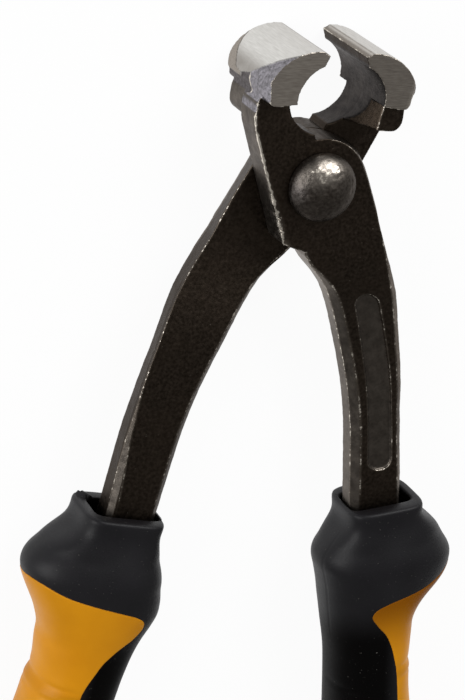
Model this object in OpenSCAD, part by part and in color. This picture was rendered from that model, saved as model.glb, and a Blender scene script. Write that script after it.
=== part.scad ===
// End cutting nippers: two forged levers, half lapped on one rivet, with two-material slip-on grips.
// The tool lies flat. Z is the pivot axis, Y points to the jaws, X goes across from handle to handle.
// Each lever is drawn closed, in a frame whose Z zero is the plane between the two laps.
// The rear lever is the front one turned half a turn about Y. The front lever bears the right handle.

/* [Pose] */
// Turn of each lever from the closed position, in degrees
open_angle = 8; // [0:0.5:18]

/* [Lap joint] */
// Thickness of each lapped cheek
cheek_t = 8.2; // [7:0.1:9.5]
// Clearance between the two cheeks
lap_gap = 0.1; // [0.04:0.02:0.2]
// Radius of the cheek round the pivot
cheek_r = 11.1; // [10.4:0.1:12]
// Height above the pivot at which each lever takes its full thickness
lap_y = 14.3; // [13.6:0.1:15.5]
// Depth of the cheek's tail below the pivot
tail_y = 15.8; // [15:0.1:16.6]

/* [Jaws] */
// Width of the jaws along the cutting edges
jaw_w = 24; // [20.4:0.2:26]
// Height of the cutting edge above the pivot
edge_y = 31.6; // [30.5:0.1:33]
// Gap between the closed cutting edges
edge_gap = 0.1; // [0.05:0.01:0.3]
// Width of the ground strip behind the cutting edge
strip_w = 1.5; // [1:0.1:2]
// Rise of the ground strip behind the cutting edge
strip_h = 1.15; // [0.6:0.05:1.4]
// Radius of the hollow between the jaws
throat_r = 8.8; // [8:0.1:9.2]
// Distance of the hollow's centre from the closing line
throat_x = 0.9; // [0.4:0.1:1.4]
// Height of the hollow's centre above the pivot
throat_y = 20.8; // [20.4:0.1:21.4]
// Radius of the ground outer face of the jaw
crown_r = 12.4; // [12:0.1:13]
// Distance of the crown's centre from the closing line
crown_x = 4; // [3.4:0.1:4.6]
// Height of the foot of the jaw's side faces above the pivot
foot_y = 21.2; // [20.6:0.1:22]
// Distance of the jaw's back from the closing line
back_x = 15.5; // [15:0.1:16.2]
// Width of the hammered facet at the back of the jaw on the lap side
facet_w = 1; // [0.6:0.1:2.4]
// Width of the rounded rim at the back of the jaw on the other side
rim_w = 2.6; // [1.2:0.1:3.4]
// Radius of the heel of the jaw's side faces
heel_r = 3.2; // [2:0.1:4]
// Room kept above the heel as a share of the jaw's back
heel_share = 0.9; // [0.7:0.05:0.95]

/* [Neck] */
// Distance of the widest point of the neck from the closing line
neck_x = 16.5; // [15.9:0.1:17]
// Height of the widest point of the neck above the pivot
neck_y = 17.6; // [17:0.1:18.6]
// Distance of the shoulder's inner end from the closing line, at the face
shoulder_x = 10; // [8.6:0.1:10.4]
// Inset of the neck's half beside the other lever's cheek
neck_inset = 0.7; // [0.3:0.1:1.2]
// Distance of the cheek's tail corner from the closing line
tail_x = 9; // [8.4:0.1:9.8]
// Rise of the sloping edge at the cheek's tail
tail_cut = 2.6; // [2:0.1:3.4]
// Radius of the bend at the neck
neck_r = 12; // [9:0.5:14]

/* [Shanks] */
// Width of the shank at the grip
shank_w = 12.4; // [11:0.1:13]
// Thickness of the shank at the grip
shank_t = 8; // [7:0.1:8.6]
// Distance of the shank's centre from the closing line where its bow ends
shank_x = 20.5; // [20:0.1:21.5]
// Distance below the pivot where the shank's bow ends
bow_y = 72; // [68:1:76]
// Radius of the bow's outer edge
bow_out_r = 157; // [154:1:166]
// Distance below the pivot above which the bow's outer edge is straight
bow_top_y = 25; // [20:1:30]
// Radius of the bow's inner edge
bow_in_r = 104; // [100:1:108]
// Distance below the pivot where the shank starts to leave its lap
set_y = 17; // [16:0.5:22]
// Distance below the pivot where the shank reaches the middle of the tool
set_end_y = 46; // [40:1:60]
// Chamfer along the shank's inner edges
inner_chamfer = 1.9; // [1:0.1:2.4]
// Chamfer along the shank's outer edges
outer_chamfer = 1.4; // [0.5:0.1:1.8]
// Distance below the pivot where the chamfers reach full size
chamfer_y = 30; // [24:1:36]
// Length of the tang inside the grip
tang_len = 96; // [80:1:104]
// Width of the tang at its tip
tang_tip_w = 7; // [6:0.1:8]
// Thickness of the tang at its tip
tang_tip_t = 5.6; // [5:0.1:6.4]

/* [Bare pad on the shank] */
// Distance below the pivot of the pad's upper end
pad_top_y = 29.5; // [27:0.5:34]
// Distance below the pivot of the pad's lower end
pad_end_y = 78; // [72:0.5:80]
// Width of the pad
pad_w = 5.8; // [4.4:0.1:6.6]
// Depth of the pad below the shank's face
pad_deep = 0.6; // [0.3:0.05:0.9]

/* [Rivet] */
// Diameter of the rivet's shank
rivet_d = 8; // [7:0.1:9]
// Radial clearance of the rivet in the levers
rivet_fit = 0.05; // [0.02:0.01:0.09]
// Play under the rivet's domed head
head_play = 0.05; // [0.02:0.01:0.1]
// Diameter of the rivet's heads
head_d = 16.4; // [15:0.1:18]
// Height above the cheek at which the domed head is widest
head_rim = 1.2; // [0.6:0.1:1.6]
// Height of the dome above its widest place
dome_h = 4.6; // [3.6:0.1:5.4]
// Diameter of the flat on the peened head at the back
peen_flat_d = 10; // [8:0.1:11]

/* [Grips] */
// Length of the grip
grip_len = 136; // [126:1:146]
// Distance of the mouth's centre from the closing line
mouth_x = 22.2; // [21.6:0.1:22.8]
// Distance of the grip's mouth below the pivot
mouth_y = 87.4; // [85:0.2:90]
// Outward tilt of the grip and the shank's end, in degrees
grip_tilt = 0.7; // [0:0.1:1.6]
// Half width of the collar on the palm side
collar_out = 10.2; // [9.6:0.1:11]
// Half width of the collar on the finger side
collar_in = 9.8; // [9.2:0.1:10.6]
// Half depth of the collar
collar_deep = 8.9; // [8.2:0.1:9.8]
// Length of the collar above the guard's flank
collar_s = 3; // [1:0.5:4]
// Distance from the mouth to the widest point of the guard
guard_s = 16.6; // [15:0.2:19]
// Reach of the guard on the palm side
guard_out = 19.6; // [17:0.1:21]
// Reach of the guard on the finger side
guard_in = 15.8; // [13.5:0.1:17]
// Distance from the mouth to the waist under the guard
waist_s = 34; // [31:0.5:38]
// Reach of the waist on the palm side
waist_out = 9.6; // [9:0.1:11]
// Reach of the waist on the finger side
waist_in = 12.4; // [11:0.1:13.5]
// Half depth of the waist
waist_deep = 10.4; // [9.6:0.1:11.2]
// Distance from the mouth to the start of the raised palm pad
palm_s = 44; // [42:0.5:47]
// Rise of the palm pad above the waist
palm_rise = 0.8; // [0.4:0.1:1.4]
// Distance from the mouth to the middle of the palm swell
swell_s = 84; // [78:1:90]
// Reach of the swell on the palm side
swell_out = 13.2; // [12:0.1:14.5]
// Reach of the swell on the finger side
swell_in = 12.2; // [11:0.1:13]
// Half depth of the swell
swell_deep = 11.4; // [10.6:0.1:11.8]
// Distance from the grip's end back to the narrowing before it
neck_back = 22; // [18:1:26]
// Reach of that narrowing on either side
end_neck = 10.8; // [10.2:0.1:11.6]
// Reach of the flared end on either side
end_flare = 12.6; // [11.6:0.1:13.4]
// Half depth of the flared end
end_deep = 11.4; // [10.6:0.1:11.8]
// Length of the rounding at the grip's end
end_round = 7; // [5:0.5:9]

/* [Inlay on the palm side] */
// Distance from the mouth to the inlay's upper border at the palm edge
border_s = 17; // [15:0.5:19]
// Distance from the mouth to the inlay's upper border at its hook
hook_s = 23.8; // [22:0.2:25]
// Reach of the inlay's hook towards the finger side
hook_in = 8.2; // [7:0.1:9]
// Radius of the hook's corner
hook_r = 2.6; // [2:0.1:3.2]
// Distance of the inlay's border from the grip's axis beside the finger panel
panel_out = 1.4; // [1:0.1:2.4]
// Length of the finger panel's curved upper end
panel_top = 25; // [22:0.5:27]
// Length of the finger panel's curved lower end
panel_foot = 16; // [13:0.5:18]
// Distance from the lower hook to the inlay's lower border at the palm edge
border_drop = 5; // [2:0.5:6]
// Distance from the inlay's lower border to the grip's end
inlay_gap = 19; // [14:0.5:26]
// Turn of the inlay's borders about the grip's axis, in degrees
inlay_turn = 6; // [0:1:12]

/* [Inside the grip] */
// Wall of the rigid core round the tang
core_wall = 1.6; // [1.2:0.1:1.9]
// Distance from the mouth to the top of the core
core_s = 11; // [9:0.5:13]
// Solid length of the core beyond the tang's tip
core_plug = 12; // [8:0.5:14]
// Gap between the shank and the collar's mouth on the palm side
mouth_gap_palm = 2.8; // [2:0.1:3.2]
// Gap between the shank and the collar's mouth on the finger side
mouth_gap_finger = 0.4; // [0.2:0.1:0.6]
// Gap between the shank's faces and the collar's mouth
mouth_gap_face = 0.8; // [0.4:0.1:1.4]

/* [Hidden] */

// Half of the jaws' width, which is also the height of the lap plane above the rest plane
half_w = jaw_w / 2;
// Overrun of every cut
cut = 1;
// Steps along round stretches of the outlines
arc_steps = 14;
corner_steps = 6;
// Stations along the bow of the shank
bow_steps = 16;
// Points round the grip
grip_sides = 32;
// Stations of the grip between its named places, from the mouth down
grip_steps = [2, 8, 9, 3, 3, 11, 8, 5];
// Squareness of the grip's section at the mouth and below the guard, as exponents of a rounded oval
mouth_square = 4.4;
body_square = 2.4;
// Angle by which the corner of each of the inlay's hooks runs on under its tip
hook_turn = 10;
// Share of full size at which the shank's chamfers start
chamfer_start_share = 0.15;
$fn = 64;

// Easing from 0 to 1 with level ends
function ease(t) = let (q = min(max(t, 0), 1)) q * q * (3 - 2 * q);

// Value at s in a table of [place, value], level at each place and eased between them
function eased(table, s, i = 0) =
    s <= table[0][0] ? table[0][1] :
    i >= len(table) - 1 ? table[len(table) - 1][1] :
    s >= table[i + 1][0] ? eased(table, s, i + 1) :
    table[i][1] + (table[i + 1][1] - table[i][1])
        * ease((s - table[i][0]) / (table[i + 1][0] - table[i][0]));

// Points along an arc of a circle or, with two radii, of an ellipse
function arc(c, r, a0, a1, n = arc_steps, ry = 0) =
    [for (i = [0 : n]) let (a = a0 + (a1 - a0) * i / n) c + [r * cos(a), (ry > 0 ? ry : r) * sin(a)]];

// Closed solid through rings with the same count of points, which turn right-handed along the solid
module skin(rings) {
    n = len(rings[0]);
    last = len(rings) - 1;
    sides = [
        for (k = [0 : last - 1], i = [0 : n - 1])
            let (a = k * n + i, b = k * n + (i + 1) % n)
            each [[a, b + n, b], [a, a + n, b + n]]
    ];
    first_cap = [[for (i = [0 : n - 1]) i]];
    last_cap = [[for (i = [n - 1 : -1 : 0]) last * n + i]];
    polyhedron(points = [for (r = rings) each r], faces = concat(sides, first_cap, last_cap), convexity = 8);
}

// Places of the two levers, from the closed frame of the front one
module on_front() {
    translate([0, 0, half_w])
        rotate([0, 0, open_angle])
            children();
}

module on_rear() {
    translate([0, 0, half_w])
        rotate([0, 180, 0])
            rotate([0, 0, open_angle])
                children();
}

// The crown passes through the upper edge of the ground strip
crown_start = acos((crown_x - strip_w) / crown_r);
crown_c = [-crown_x, edge_y + strip_h - crown_r * sin(crown_start)];
throat_c = [throat_x, throat_y];
throat_foot = 180 - asin((foot_y - throat_y) / throat_r);
// Angle at which the hollow meets the inner side of the cutting edge, and at which the cheek leaves it
throat_lip = 105;
throat_cheek = 253;

// Outline of the jaw seen along the cutting edge
module jaw_outline() {
    crown_end = 180 - acos((back_x - crown_x) / crown_r);
    room = crown_c[1] + crown_r * sin(crown_end) - foot_y;
    heel = min(heel_r, room * heel_share);
    polygon(concat(
        arc(crown_c, crown_r, crown_start, crown_end),
        arc([heel - back_x, foot_y + heel], heel, 180, 270, corner_steps),
        arc(throat_c, throat_r, throat_foot, throat_lip),
        [[-edge_gap / 2, edge_y]]
    ));
}

// Outline of the jaw seen from above: a facet at the back on the lap side, a rounded rim on the other
module jaw_plan() {
    polygon(concat(
        [[0, half_w], [facet_w - back_x, half_w], [-back_x, cheek_t]],
        arc([rim_w - back_x, rim_w - half_w], rim_w, 180, 270, corner_steps),
        [[0, -half_w]]
    ));
}

// Jaw head: crown, hollow and ground strip run right across
module jaw() {
    intersection() {
        translate([0, 0, -half_w])
            linear_extrude(jaw_w)
                jaw_outline();
        translate([0, edge_y + throat_r, 0])
            rotate([90, 0, 0])
                linear_extrude(edge_y)
                    jaw_plan();
    }
}

// Edges of the shank at a distance y below the pivot
function lean(y) = max(y - bow_y, 0) * tan(grip_tilt);
function bow(r, y, top = 0) =
    let (
        d = max(bow_y - y, 0),
        bent = min(d, bow_y - top),
        across = sqrt(r * r - bent * bent)
    )
    r - across + (d - bent) * bent / across;
function tang_share(y) = min(max((y - mouth_y) / tang_len, 0), 1);
function half_shank(y) = (shank_w + (tang_tip_w - shank_w) * tang_share(y)) / 2;
function shank_out(y) = shank_x + half_shank(y) + lean(y) - bow(bow_out_r, y, bow_top_y);
function shank_in(y) = shank_x - half_shank(y) + lean(y) - bow(bow_in_r, y);

// Height of the shank's middle and its half thickness: flush with its cheek, then set to the lap plane
lap_half = (cheek_t - lap_gap / 2) / 2;
function set_share(y) = ease((y - set_y) / (set_end_y - set_y));
function shank_z(y) = (cheek_t - lap_half) * (1 - set_share(y));
function half_thick(y) =
    (lap_half + (shank_t / 2 - lap_half) * set_share(y)) + (tang_tip_t - shank_t) / 2 * tang_share(y);
function chamfer_share(y) =
    (chamfer_start_share + (1 - chamfer_start_share) * ease((y - tail_y) / (chamfer_y - tail_y)))
    * half_shank(y) * 2 / shank_w;

// Ring of eight points round the shank
function shank_ring(y) =
    let (
        a = shank_in(y), b = shank_out(y), z = shank_z(y), h = half_thick(y),
        ci = inner_chamfer * chamfer_share(y), co = outer_chamfer * chamfer_share(y)
    )
    [
        [a, -y, z + h - ci], [a, -y, z - h + ci], [a + ci, -y, z - h], [b - co, -y, z - h],
        [b, -y, z - h + co], [b, -y, z + h - co], [b - co, -y, z + h], [a + ci, -y, z + h]
    ];

module shank() {
    bend = [for (i = [0 : bow_steps]) tail_y + (bow_y - tail_y) * i / bow_steps];
    straight = [(bow_y + mouth_y) / 2, mouth_y, mouth_y + tang_len];
    skin([for (y = concat(bend, straight)) shank_ring(y)]);
}

// Outline of the cheek, from the jaw's foot round the pivot to the shank, and up the neck
neck_c = [neck_r - neck_x, neck_y];
tail_corner = [-tail_x, tail_cut - tail_y];
// The straight left edge touches the neck's bend
neck_slope = atan((tail_x - neck_x) / (neck_y - tail_corner[1]));
neck_foot = 180 - neck_slope;
// Angles at which the neck's bend starts beside the other cheek, and at which it meets the jaw's heel
neck_start = 175;
neck_end = 153;
cheek_top = 97;
cheek_side = atan((bow_y - bow_top_y) / sqrt(bow_out_r * bow_out_r - pow(bow_y - bow_top_y, 2)));
heel_top = [heel_r - back_x, foot_y + heel_r];

// The throat's lower end on the shoulder, and the outer corner of the shoulder
throat_shoulder = 180 + asin((throat_y - lap_y) / throat_r);
shoulder_r = neck_y - lap_y - neck_inset;
shoulder_c = [shoulder_r + neck_inset - neck_x, neck_y];

module cheek_outline() {
    side_y = -cheek_r * sin(cheek_side);
    polygon(concat(
        arc(throat_c, throat_r, throat_foot, throat_cheek),
        arc([0, 0], cheek_r, cheek_top, cheek_side),
        [for (i = [1 : corner_steps]) let (y = side_y + (tail_y - side_y) * i / corner_steps) [shank_out(y), -y]],
        [[shank_in(tail_y), -tail_y], tail_corner],
        arc(neck_c, neck_r, neck_foot, neck_end, corner_steps),
        [heel_top]
    ));
}

module cheek() {
    translate([0, 0, lap_gap / 2])
        linear_extrude(cheek_t - lap_gap / 2)
            cheek_outline();
}

// Half of the neck beside the other lever's cheek, whose lower end is the shoulder
module neck() {
    wall_x = throat_c[0] + throat_r * cos(throat_shoulder);
    difference() {
        translate([0, 0, -cheek_t])
            linear_extrude(cheek_t + lap_gap / 2)
                polygon(concat(
                    arc(throat_c, throat_r, throat_foot, throat_shoulder, corner_steps),
                    arc(shoulder_c, shoulder_r, 270, 180, corner_steps),
                    arc(neck_c, neck_r - neck_inset, neck_start, neck_end, corner_steps),
                    [heel_top]
                ));
        // The inner wall slants from the throat's end at the lap to the middle of the shoulder at the face
        translate([wall_x, lap_y - cut, lap_gap / 2])
            rotate([0, atan((shoulder_x + wall_x) / cheek_t), 0])
                translate([0, 0, -half_w * 2])
                    cube([half_w, foot_y - lap_y + cut, half_w * 2]);
    }
}

// Bare stadium pad, sunk into the front face along the middle of the shank
module pad() {
    r = pad_w / 2;
    ends = [for (i = [0 : corner_steps]) r * (1 - cos(90 * (i + 1) / (corner_steps + 1)))];
    run = [for (i = [1 : corner_steps]) pad_top_y + r + (pad_end_y - pad_top_y - pad_w) * i / (corner_steps + 1)];
    places = concat(
        [for (e = ends) [pad_top_y + e, sqrt(r * r - (r - e) * (r - e))]],
        [for (y = run) [y, r]],
        [for (i = [corner_steps : -1 : 0]) [pad_end_y - ends[i], sqrt(r * r - (r - ends[i]) * (r - ends[i]))]]
    );
    skin([
        for (p = places)
            let (
                y = p[0],
                x = (shank_in(y) + inner_chamfer + shank_out(y) - outer_chamfer) / 2,
                z = shank_z(y) + half_thick(y)
            )
            [
                [x - p[1], -y, z + cut], [x - p[1], -y, z - pad_deep],
                [x + p[1], -y, z - pad_deep], [x + p[1], -y, z + cut]
            ]
    ]);
}

module lever() {
    difference() {
        union() {
            jaw();
            neck();
            cheek();
            shank();
        }
        translate([0, 0, -cut])
            cylinder(r = rivet_d / 2 + rivet_fit, h = cheek_t + 2 * cut);
        pad();
    }
}

module front_lever() {
    color([0.2, 0.18, 0.16])
        on_front()
            lever();
}

module rear_lever() {
    color([0.2, 0.18, 0.16])
        on_rear()
            lever();
}

// Rivet: shank, domed head over the front cheek and a peened head with a flat at the back
module pivot_rivet() {
    dome_base = half_w + cheek_t + head_play;
    peen_base = half_w - cheek_t;
    color([0.25, 0.24, 0.23])
        rotate_extrude()
            polygon(concat(
                [[0, 0], [peen_flat_d / 2, 0]],
                arc([peen_flat_d / 2, peen_base], (head_d - peen_flat_d) / 2, 270, 360, corner_steps, peen_base),
                [[rivet_d / 2, peen_base], [rivet_d / 2, dome_base]],
                arc([0, dome_base + head_rim], head_d / 2, -asin(head_rim / dome_h), 90, arc_steps, dome_h)
            ));
}

// Reach of the grip on the palm side, on the finger side and in depth, at a distance s from its mouth
neck_s = grip_len - neck_back;
flare_s = grip_len - end_round;
palm_top = palm_s + 4 * palm_rise;
grip_places = [0, collar_s, guard_s, waist_s, palm_s, palm_top, swell_s, neck_s, flare_s];

function reach_out(s) = eased(
    [
        [collar_s, collar_out], [guard_s, guard_out], [waist_s, waist_out], [palm_s, waist_out],
        [palm_top, waist_out + palm_rise], [swell_s, swell_out], [neck_s, end_neck], [flare_s, end_flare]
    ], s
);
function reach_in(s) = eased(
    [
        [collar_s, collar_in], [guard_s, guard_in], [palm_s, waist_in], [swell_s, swell_in],
        [neck_s, end_neck], [flare_s, end_flare]
    ], s
);
function depth(s) = eased(
    [
        [collar_s, collar_deep], [guard_s, half_w], [(waist_s + palm_s) / 2, waist_deep],
        [swell_s, swell_deep], [neck_s, end_neck], [flare_s, end_deep]
    ], s
);
function square_at(s) = eased([[0, mouth_square], [guard_s, body_square]], s);

// Ring round the grip: an oval whose squareness and reaches follow s, scaled at the rounded end
function grip_ring(s, share = 1) = [
    for (i = [0 : grip_sides - 1])
        let (
            a = 360 * i / grip_sides, c = cos(a), q = sin(a), e = square_at(s),
            r = share * pow(pow(abs(c), e) + pow(abs(q), e), -1 / e)
        )
        [(c > 0 ? reach_out(s) : reach_in(s)) * c * r, -s, depth(s) * q * r]
];

module grip_form() {
    places = concat([0], [
        for (k = [0 : len(grip_steps) - 1], i = [1 : grip_steps[k]])
            grip_places[k] + (grip_places[k + 1] - grip_places[k]) * i / grip_steps[k]
    ]);
    end = [for (a = [18 : 18 : 72]) grip_ring(flare_s + end_round * sin(a), cos(a))];
    rings = concat([for (s = places) grip_ring(s)], end);
    on_grip()
        for (k = [1 : len(rings) - 1])
            hull()
                skin([rings[k - 1], rings[k]]);
}

// Place of the grip in the lever's closed frame
module on_grip() {
    translate([mouth_x, -mouth_y, 0])
        rotate([0, 0, grip_tilt])
            children();
}

// Rectangular ring round the shank, larger than it by a gap on each side
function shell_ring(y, finger, palm, face) =
    let (a = shank_in(y) - finger, b = shank_out(y) + palm, z = shank_z(y), h = half_thick(y) + face)
    [
        [a, -y, z + h], [a, -y, z - h], [b, -y, z - h], [b, -y, z + h]
    ];

// Open mouth of the collar round the shank
module mouth() {
    skin([
        for (y = [mouth_y - cut - (guard_out + half_w) * tan(grip_tilt), mouth_y + core_s])
            shell_ring(y, mouth_gap_finger, mouth_gap_palm, mouth_gap_face)
    ]);
}

// Outer form of the rigid core round the tang
module core_form() {
    skin([
        for (y = [mouth_y + core_s, mouth_y + tang_len, mouth_y + tang_len + core_plug])
            shell_ring(y, core_wall, core_wall, core_wall)
    ]);
}

// Outline of the palm inlay in the plane of the tool, with a hook at each end of the finger panel
module inlay_zone() {
    side_top = hook_s + hook_r + panel_top;
    panel_half = hook_in + panel_out;
    lower_hook = grip_len - inlay_gap - border_drop;
    side_end = lower_hook - hook_r - panel_foot;
    palm = guard_out + half_w;
    rotate([0, inlay_turn, 0])
        translate([0, 0, -half_w * 2])
            linear_extrude(half_w * 4)
                polygon(concat(
                    [[guard_out, -border_s], [palm, -border_s]],
                    [[palm, -lower_hook - border_drop], [swell_out, -lower_hook - border_drop]],
                    arc([hook_r - hook_in, hook_r - lower_hook], hook_r, 270, 180 - hook_turn, corner_steps),
                    arc([-hook_in, -side_end], panel_half, 270 + hook_turn, 360, arc_steps, panel_foot),
                    arc([-hook_in, -side_top], panel_half, 0, 90 - hook_turn, arc_steps, panel_top),
                    arc([hook_r - hook_in, -hook_s - hook_r], hook_r, 180 + hook_turn, 90, corner_steps)
                ));
}

module core() {
    difference() {
        core_form();
        shank();
    }
}

module sleeve() {
    difference() {
        grip_form();
        core_form();
        mouth();
        on_grip()
            inlay_zone();
    }
}

module inlay() {
    difference() {
        intersection() {
            grip_form();
            on_grip()
                inlay_zone();
        }
        core_form();
    }
}

module right_grip_core() {
    color([0.3, 0.3, 0.32])
        on_front()
            core();
}

module right_grip_sleeve() {
    color([0.09, 0.09, 0.1])
        on_front()
            sleeve();
}

module right_grip_inlay() {
    color([0.9, 0.6, 0.1])
        on_front()
            inlay();
}

module left_grip_core() {
    color([0.3, 0.3, 0.32])
        on_rear()
            core();
}

module left_grip_sleeve() {
    color([0.09, 0.09, 0.1])
        on_rear()
            sleeve();
}

module left_grip_inlay() {
    color([0.9, 0.6, 0.1])
        on_rear()
            inlay();
}

front_lever();
rear_lever();
pivot_rivet();
right_grip_core();
right_grip_sleeve();
right_grip_inlay();
left_grip_core();
left_grip_sleeve();
left_grip_inlay();
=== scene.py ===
"""End cutting nippers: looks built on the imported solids. Metres, in the frame of the part."""
import math
import bmesh
import bpy
import numpy as np
from mathutils import Matrix, Vector, noise
from mathutils.kdtree import KDTree

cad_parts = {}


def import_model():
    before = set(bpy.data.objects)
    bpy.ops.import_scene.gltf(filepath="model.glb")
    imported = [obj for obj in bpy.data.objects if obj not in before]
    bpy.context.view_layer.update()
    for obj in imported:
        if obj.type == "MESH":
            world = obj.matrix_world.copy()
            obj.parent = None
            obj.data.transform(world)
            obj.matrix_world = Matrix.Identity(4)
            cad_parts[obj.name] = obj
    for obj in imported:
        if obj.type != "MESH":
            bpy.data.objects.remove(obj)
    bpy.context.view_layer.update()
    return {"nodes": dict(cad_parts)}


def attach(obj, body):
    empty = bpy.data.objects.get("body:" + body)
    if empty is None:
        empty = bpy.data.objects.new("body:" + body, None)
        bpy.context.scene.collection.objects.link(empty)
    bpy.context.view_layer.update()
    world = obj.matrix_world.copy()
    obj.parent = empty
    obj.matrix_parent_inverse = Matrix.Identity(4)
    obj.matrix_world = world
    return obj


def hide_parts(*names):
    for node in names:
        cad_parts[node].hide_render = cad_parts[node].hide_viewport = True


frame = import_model()
scene = bpy.context.scene
MM = 0.001

# ---------------------------------------------------------------- places, in mm
# Half the jaws' width, which is also the height of the lap's middle plane, and each lever's turn from closed
HALF_W = 12.0
OPEN = math.radians(8)
# Cutting edge, the ground strip behind it, the crown's cylinder and the throat's: x, y and radius
EDGE_Y = 31.6
STRIP_H = 1.15
STRIP_W = 1.5
CROWN_R = 12.4
CROWN_X = 4.0
CROWN_Y = EDGE_Y + STRIP_H - CROWN_R * math.sin(math.acos((CROWN_X - STRIP_W) / CROWN_R))
THROAT = (0.9, 20.8, 8.8)
# Lower end of the jaw's faces, top of the cheek, top of the crotch, and a place inside the grip
FOOT_Y = 21.2
CHEEK_TOP = 10
CROTCH_Y = -14
TANG_Y = -92
# Middle of the shank's thickness above the lap plane at the joint, and half that thickness
SHANK_MID = 4.125
SHANK_HALF = 4.05
# Grip's mouth from the pivot, its turn against the lever and its length
MOUTH = (22.2, 87.4)
TILT = math.radians(0.7)
GRIP_LEN = 135.99
# Size of the cells in which the forged pieces are meshed anew
VOXEL, QUICK_VOXEL, RIVET_VOXEL = 0.24, 0.3, 0.26


def to_closed(p, side):
    """Points of the row frame, in mm, in the closed frame that a lever is drawn in."""
    q = p - np.array([0, 0, HALF_W])
    if side == "rear":
        q = q * np.array([-1.0, 1.0, -1.0])
    c, s = math.cos(OPEN), math.sin(OPEN)
    return np.stack([c * q[:, 0] + s * q[:, 1], -s * q[:, 0] + c * q[:, 1], q[:, 2]], 1)


def from_closed(q, side):
    c, s = math.cos(OPEN), math.sin(OPEN)
    p = np.stack([c * q[:, 0] - s * q[:, 1], s * q[:, 0] + c * q[:, 1], q[:, 2]], 1)
    if side == "rear":
        p = p * np.array([-1.0, 1.0, -1.0])
    return p + np.array([0, 0, HALF_W])


def smoothstep(x, a, b):
    t = np.clip((x - a) / (b - a), 0, 1)
    return t * t * (3 - 2 * t)


def hump(x, centre, width):
    """Bell curve of height 1."""
    return np.exp(-(((x - centre) / width) ** 2))


def along(table, y):
    """Value at y in a table of places and values, straight between them."""
    ys, vs = zip(*table)
    return np.interp(y, ys, vs)


# ---------------------------------------------------------------- mesh helpers
def added(name, data):
    """New object in the scene."""
    ob = bpy.data.objects.new(name, data)
    scene.collection.objects.link(ob)
    return ob


def remeshed(node, name, voxel):
    """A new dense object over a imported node, to be shaped and shown in its place."""
    ob = added(name, frame["nodes"][node].data.copy())
    mod = ob.modifiers.new("remesh", "REMESH")
    mod.mode = "VOXEL"
    mod.voxel_size = voxel * MM
    mod.adaptivity = 0
    dense = bpy.data.meshes.new_from_object(ob.evaluated_get(bpy.context.evaluated_depsgraph_get()))
    ob.modifiers.clear()
    ob.data = dense
    dense.materials.clear()
    return ob


def points(me):
    co = np.empty(len(me.vertices) * 3)
    me.vertices.foreach_get("co", co)
    return co.reshape(-1, 3) / MM


def set_points(me, p):
    me.vertices.foreach_set("co", (p * MM).ravel())
    me.update()


def normals(me):
    n = np.empty(len(me.vertices) * 3)
    me.vertices.foreach_get("normal", n)
    return n.reshape(-1, 3)


def edges(me):
    e = np.empty(len(me.edges) * 2, int)
    me.edges.foreach_get("vertices", e)
    return e.reshape(-1, 2)


def neighbour_mean(p, e):
    n = len(p)
    deg = np.bincount(e.ravel(), minlength=n)
    out = np.empty_like(p)
    for k in range(p.shape[1]):
        out[:, k] = np.bincount(e[:, 0], p[e[:, 1], k], n) + np.bincount(e[:, 1], p[e[:, 0], k], n)
    return out / deg[:, None]


def relaxed(p, e, times):
    """Smoothing that rounds edges without shrinking the form: each step inwards is followed by one back."""
    for _ in range(times):
        for f in (0.5, -0.52):
            p = p + (neighbour_mean(p, e) - p) * f
    return p


def float_attribute(me, name, values):
    at = me.attributes.new(name, "FLOAT", "POINT")
    at.data.foreach_set("value", np.asarray(values, dtype=np.float32))


def rough_field(p, scale, octaves=3, seed=0.0):
    """Value of a smooth random field at each point, about -1 to 1."""
    off = Vector((seed, seed * 1.7, seed * 0.3))
    return np.array([noise.fractal(Vector(v) * scale + off, 1.0, 2.0, octaves) for v in p])


def tree_of(spots):
    tree = KDTree(len(spots))
    for i, v in enumerate(spots):
        tree.insert(Vector(v), i)
    tree.balance()
    return tree


def distances(tree, p):
    return np.array([tree.find(Vector(v))[2] for v in p])


def sharp_edges(node_name, least, step=0.2):
    """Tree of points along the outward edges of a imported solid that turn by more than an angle."""
    bm = bmesh.new()
    bm.from_mesh(frame["nodes"][node_name].data)
    bmesh.ops.remove_doubles(bm, verts=bm.verts, dist=1e-6)
    spots = []
    for ed in bm.edges:
        if len(ed.link_faces) == 2 and ed.calc_face_angle_signed(0) > least:
            a, b = ed.verts[0].co / MM, ed.verts[1].co / MM
            count = max(int((b - a).length / step), 1)
            spots += [a.lerp(b, i / count) for i in range(count + 1)]
    bm.free()
    return tree_of(spots)


def shade_smooth(me):
    me.polygons.foreach_set("use_smooth", [True] * len(me.polygons))
    me.update()


# ---------------------------------------------------------------- materials
# Colours of the steel, linear, from dark to light where there are two
SKIN_PATCH = (0.046, 0.034, 0.025)
SCRATCH = (0.2, 0.17, 0.14)
SIDE = ((0.07, 0.062, 0.055), (0.17, 0.15, 0.13))
HAMMERED = ((0.15, 0.145, 0.155), (0.42, 0.4, 0.44))
# Painted shade in the throat
THROAT_SHADE = ((0.026, 0.024, 0.024), (0.062, 0.056, 0.053))
GROUND = ((0.62, 0.61, 0.58), (0.8, 0.79, 0.76))
# Painted shade on the lower part of the crown's ground face
GROUND_SHADED = (0.34, 0.32, 0.295)
BRUSHED = ((0.3, 0.265, 0.235), (0.46, 0.42, 0.37))
RUBBED = (0.17, 0.145, 0.12)
WORN_AND_HIGHLIGHT = (0.78, 0.72, 0.63)
# Oxidised steel shines less than clean metal at a grazing angle
GRAZING = (0.76, 0.74, 0.73)
# Pale dust on the soft grips
DUST = (0.2, 0.19, 0.17)
# Stretch of the noise along the grinding lines of the side faces and of the crown
FACE_LINES = (0.2, 1.8, 1.8)
CROWN_LINES = (1.7, 1.7, 0.12)


def material(name):
    m = bpy.data.materials.new(name)
    m.use_nodes = True
    nt = m.node_tree
    return m, nt, nt.nodes["Principled BSDF"]


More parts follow.
